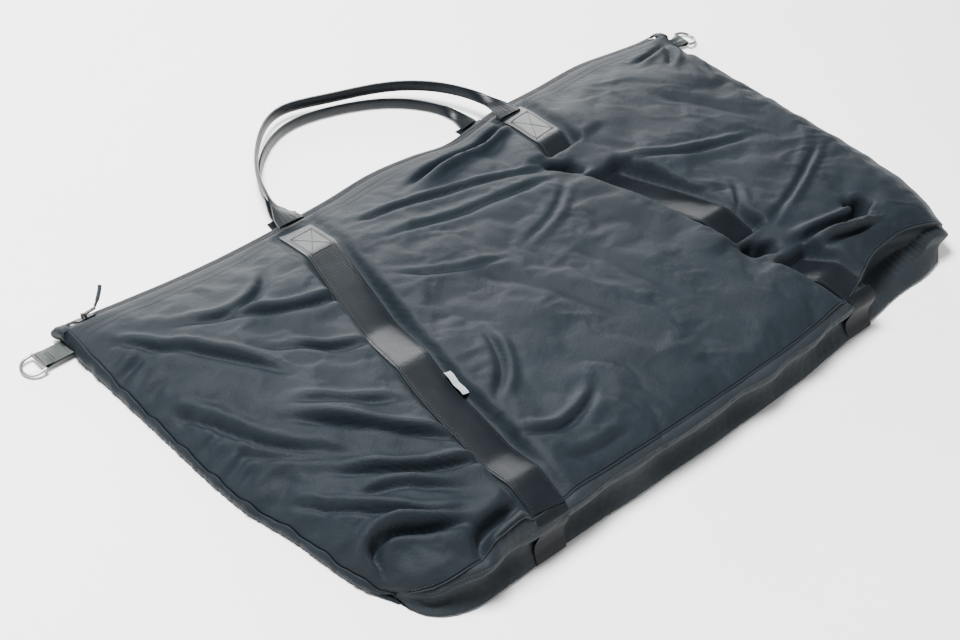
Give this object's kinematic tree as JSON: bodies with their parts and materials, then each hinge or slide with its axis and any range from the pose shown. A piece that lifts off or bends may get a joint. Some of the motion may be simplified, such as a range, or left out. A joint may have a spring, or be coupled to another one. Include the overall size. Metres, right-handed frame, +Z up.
{
  "type": "film changing bag",
  "caption": "Large soft zip-top film changing and carrying bag lying flat, with strap-mounted webbing handles and a D-ring tab at each end of the zip.",
  "frame": {"origin": "centre of the back panel's flat underside, on the surface that the bag lies on", "axes": "+X along the zip from the closed slider's end, +Y from the base to the zip, +Z up through the front panel"},
  "size_m": [1.2218, 0.7568, 0.0881],
  "materials": {
    "navy_nylon": "plain-weave nylon with a soft sheen, creased",
    "liner_cloth": "matt coated cloth",
    "webbing": "ribbed nylon webbing with a sheen",
    "thread": "bonded thread",
    "zip_tape": "woven tape",
    "zip_coil": "satin nylon coil",
    "dark_metal": "dark blackened metal",
    "nickel": "bright nickel-plated wire",
    "binding_tape": "folded grosgrain tape",
    "label_cloth": "blank woven satin"
  },
  "bodies": {
    "bag": {"front_panel_lower_left": "navy_nylon", "front_panel_lower_middle": "navy_nylon", "front_panel_lower_right": "navy_nylon", "front_panel_upper_left": "navy_nylon", "front_panel_upper_middle": "navy_nylon", "front_panel_upper_right": "navy_nylon", "front_panel_hem_left": "navy_nylon", "front_panel_hem_middle": "navy_nylon", "front_panel_hem_right": "navy_nylon", "end_panel_left": "navy_nylon", "end_panel_right": "navy_nylon", "back_panel": "navy_nylon", "base_gusset": "navy_nylon", "liner_front": "liner_cloth", "liner_back": "liner_cloth", "front_strap_left": "webbing", "front_strap_right": "webbing", "base_strap_left": "webbing", "base_strap_right": "webbing", "rear_strap_left": "webbing", "rear_strap_right": "webbing", "strap_bar_tacks": "thread", "zip_tape_front": "zip_tape", "zip_tape_back": "zip_tape", "zip_coil_front": "zip_coil", "zip_coil_back": "zip_coil", "zip_stop_left": "zip_coil", "zip_stop_right": "zip_coil", "zip_end_cover_left": "navy_nylon", "zip_end_cover_right": "navy_nylon", "d_ring_tab_left": "webbing", "d_ring_tab_right": "webbing", "end_binding_left": "binding_tape", "end_binding_right": "binding_tape", "side_label": "label_cloth"},
    "front_handle": {"front_handle": "webbing"},
    "rear_handle": {"rear_handle": "webbing"},
    "zip_slider": {"zip_slider": "dark_metal"},
    "zip_pull": {"zip_pull": "dark_metal"},
    "d_ring_left": {"d_ring_left": "nickel"},
    "d_ring_right": {"d_ring_right": "nickel"}
  },
  "joints": [
    {"name": "zip_slide", "type": "slide", "parent": "bag", "child": "zip_slider", "axis": [1, 0, 0], "range_m": [0, 1.01]},
    {"name": "zip_pull_swing", "type": "hinge", "parent": "zip_slider", "child": "zip_pull", "pos_m": [-0.508, 0.29455, 0.0276], "axis": [0, 0.8387, -0.5446], "range_deg": [-120, 3]},
    {"name": "front_handle_swing", "type": "hinge", "parent": "bag", "child": "front_handle", "pos_m": [0, 0.268, 0.0405], "axis": [1, 0, 0], "range_deg": [-1.5, 150]},
    {"name": "rear_handle_swing", "type": "hinge", "parent": "bag", "child": "rear_handle", "pos_m": [0, 0.313, 0.0026], "axis": [1, 0, 0], "range_deg": [0, 90]},
    {"name": "left_d_ring_swing", "type": "hinge", "parent": "bag", "child": "d_ring_left", "pos_m": [-0.586, 0.276, 0.0086], "axis": [0, 1, 0], "range_deg": [0, 170]},
    {"name": "right_d_ring_swing", "type": "hinge", "parent": "bag", "child": "d_ring_right", "pos_m": [0.586, 0.276, 0.0086], "axis": [0, -1, 0], "range_deg": [0, 170]}
  ]
}
